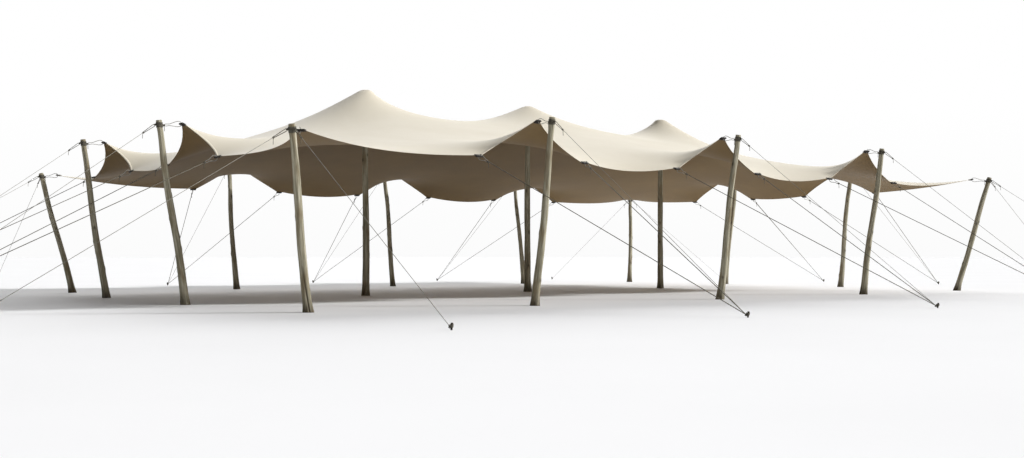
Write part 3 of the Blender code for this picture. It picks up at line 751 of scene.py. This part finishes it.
def tie_knot(bm, centre, axis, size, rope_r, tail=None):
    """A three-lobed knot round a rope, with one tail hanging from it."""
    side, third = square_to(axis)
    loop = []
    for k in range(KNOT_POINTS + 1):
        t = 2 * pi * k / KNOT_POINTS
        across = side * (sin(t) + 2 * sin(2 * t)) + third * (cos(t) - 2 * cos(2 * t))
        loop.append(centre + across * ((size - rope_r) / 3) - axis * (sin(3 * t) * (size * 0.75)))
    lay_tube(bm, loop, rope_r, sides=6)
    if tail:
        hang = [loop[0] + tail * (TAIL_OUT * q * (1 - q / 2)) - up * (TAIL_L * q * q)
                for q in np.linspace(0, 1, 9)]
        lay_tube(bm, hang, rope_r * 0.85, sides=6)


def clamp(bm, edge, out):
    """Two bolted plates that grip the hem at edge, with a bar between them at their outer end."""
    wide = square_to(out)[0]
    frame_of = Matrix((wide, out, wide.cross(out))).transposed().to_4x4()
    frame_of.translation = edge
    lift = (PLATE_GAP + PLATE_T) / 2
    middle = (CLAMP_REACH - CLAMP_LAP) / 2
    blocks = [((0, middle, way * lift), (CLAMP_W, CLAMP_LAP + CLAMP_REACH, PLATE_T)) for way in (-1, 1)]
    blocks.append(((0, CLAMP_REACH - BAR_BACK, 0), (BAR_W, BAR_L, BAR_T)))
    for at, size in blocks:
        cube = bmesh.ops.create_cube(bm, size=1.0, matrix=Matrix.Diagonal((*size, 1.0)))["verts"]
        edges = list({e for v in cube for e in v.link_edges})
        rounded = bmesh.ops.bevel(bm, geom=edges, offset=EDGE_ROUND, segments=2, profile=0.5,
                                  affect='EDGES', material=-1)
        block = {v for f in rounded["faces"] for v in f.verts}
        bmesh.ops.transform(bm, verts=list(block), matrix=frame_of @ Matrix.Translation(at))
    for x in (-BOLT_AT[0], BOLT_AT[0]):
        for way in (-1, 1):
            spot = Matrix.Translation((x, BOLT_AT[1], way * (lift + PLATE_T / 2 + BOLT_H / 2 - SUNK)))
            bmesh.ops.create_cone(bm, cap_ends=True, segments=6, radius1=BOLT_R, radius2=BOLT_TOP,
                                  depth=BOLT_H, matrix=frame_of @ spot)


def link(bm, start, pull, length):
    """A loop of wire, upright, wide at the clamp and narrow at the knot."""
    third = square_to(pull)[1]
    loop = [start + pull * (s * length) + third * w for s, w in LINK_OUTLINE]
    loop += [start + pull * (s * length) - third * w for s, w in reversed(LINK_OUTLINE)]
    for _ in range(2):
        loop = [a.lerp(b, q) for a, b in zip(loop, loop[1:] + loop[:1]) for q in (0.25, 0.75)]
    lay_tube(bm, loop + loop[:1], WIRE, sides=8, closed=True)


def rig(label, outward, head, axis, radius, highs, lows, guys, pegs):
    """All the rigging of one outer pole: clamps, links, and every rope and knot."""
    ropes, clamps, links = bmesh.new(), bmesh.new(), bmesh.new()
    for bm in (ropes, links):
        bm.loops.layers.uv.new("lay")
    low, high = head - axis * COLLAR_LOW, head - axis * COLLAR_HIGH
    lay_tube(ropes, coil(low, high, radius * SLIM + FINE_R, COLLAR_TURNS), ROPE_R * 0.92, sides=6)
    for edge, target in highs + lows:
        station = min(range(len(rim)), key=lambda k: (outer[k] - edge).length)
        out = -inward[station]
        clamp(clamps, edge, out)
        start = edge + out * LINK_START
        pull = (target - start).normalized()
        if (edge, target) in highs:
            link(links, start, pull, (target - start).length - LINK_SHORT)
            tie_knot(ropes, target, pull, KNOT_R, TIED_R, tail=-outward * 0.3)
            lay_tube(ropes, [target - pull * KNOT_LAP, target + pull * ROPE_ON], ROPE_R, sides=6)
        else:
            tied = start + pull * (LOW_LINK + KNOT_AWAY)
            link(links, start, pull, LOW_LINK)
            tie_knot(ropes, tied, pull, KNOT_R, TIED_R, tail=outward * 0.4)
            lay_tube(ropes, [tied - pull * KNOT_LAP, tied.lerp(target, 0.5), target], ROPE_R)
    for start, bunch in guys:
        pull = (bunch - start).normalized()
        third = square_to(pull)[1]
        tied = start + pull * DOUBLED_L
        for way in (-1, 1):
            strand = [start + pull * run + third * (way * half) for run, half in DOUBLED_OUTLINE]
            lay_tube(ropes, strand, STRAND_R, sides=6)
        tie_knot(ropes, start, pull, KNOT_R * 0.9, STRAND_R)
        tie_knot(ropes, tied, pull, KNOT_R * 0.85, FINE_R, tail=outward * 0.5)
        lay_tube(ropes, [tied, tied.lerp(bunch, 0.5), bunch], GUY_R, finish=1)
    for bunch, peg_foot, peg_axis in pegs:
        hitch = coil(peg_foot + peg_axis * HITCH_LOW, peg_foot + peg_axis * HITCH_HIGH,
                     STAKE_R + HITCH_OFF, HITCH_TURNS)
        lay_tube(ropes, hitch, HITCH_R, sides=6)
        toward = (bunch - (peg_foot + peg_axis * BUNCH_UP)).normalized()
        tie_knot(ropes, bunch, toward, KNOT_R, TIED_R)
        tie_knot(ropes, bunch - toward * SECOND_BACK + peg_axis * SECOND_UP, peg_axis, KNOT_R * 0.8, FINE_R)
    close_tubes(ropes)
    for bm in (clamps, links):
        bmesh.ops.recalc_face_normals(bm, faces=bm.faces)
    node = "guys_" + label
    keep_piece("ropes_" + label, ropes, [edge_rope, guy_cord], [node])
    keep_piece("clamps_" + label, clamps, [clamp_black], [node], smooth=False)
    keep_piece("links_" + label, links, [link_wire], [node])


for label, foot, outward in side_poles:
    head = foot + outward * SIDE_LEAN + up * SIDE_TOP
    axis = (head - foot).normalized()
    middle, tip = head - axis * LUG_DROP, outward * (SIDE_RADII[2] + LUG_OFF)
    if outward.y:
        along, high_out, low_out, spread, peg_out = Vector((1, 0, 0)), HIGH_Y, LOW_Y, LOW_LONG, LONG_STAKE_Y
    else:
        along, high_out, low_out, spread, peg_out = Vector((0, 1, 0)), HIGH_X, LOW_X, LOW_END, END_STAKE_X
    line = foot - outward * foot.dot(outward)       # where the pole stands along the rim
    peg_foot = line + outward * peg_out
    peg_axis = stake(f"stake_{label}", peg_foot, outward)
    bunch = peg_foot + peg_axis * BUNCH_UP - outward * BUNCH_OFF
    high_edge = line + outward * high_out + up * (HIGH_Z - HEM_DROP)
    low_edges = [line + outward * low_out + along * (way * spread) + up * (LOW_Z - HEM_DROP)
                 for way in (-1, 1)]
    rig(label, outward, head, axis, SIDE_RADII[2], [(high_edge, middle - tip)],
        [(edge, bunch) for edge in low_edges], [(middle + tip, bunch)], [(bunch, peg_foot, peg_axis)])
for label, foot, lean in corner_poles:
    head = foot + lean * CORNER_LEAN + up * CORNER_TOP
    axis, outward = (head - foot).normalized(), lean.normalized()
    middle = head - axis * LUG_DROP
    x, y, z = CORNER_CLAMP
    edge = Vector((lean.x * x, lean.y * y, z - HEM_DROP))
    guys, pegs = [], []
    for letter, x, y in CORNER_STAKES:
        peg_foot = Vector((lean.x * x, lean.y * y, 0))
        away = Vector((peg_foot.x - head.x, peg_foot.y - head.y, 0)).normalized()
        peg_axis = stake(f"stake_{label}{letter}", peg_foot, away)
        bunch = peg_foot + peg_axis * BUNCH_UP - away * BUNCH_OFF
        guys.append((middle + away * (CORNER_RADII[2] + LUG_OFF), bunch))
        pegs.append((bunch, peg_foot, peg_axis))
    rig(label, outward, head, axis, CORNER_RADII[2],
        [(edge, middle - outward * (CORNER_RADII[2] + LUG_OFF))], [], guys, pegs)
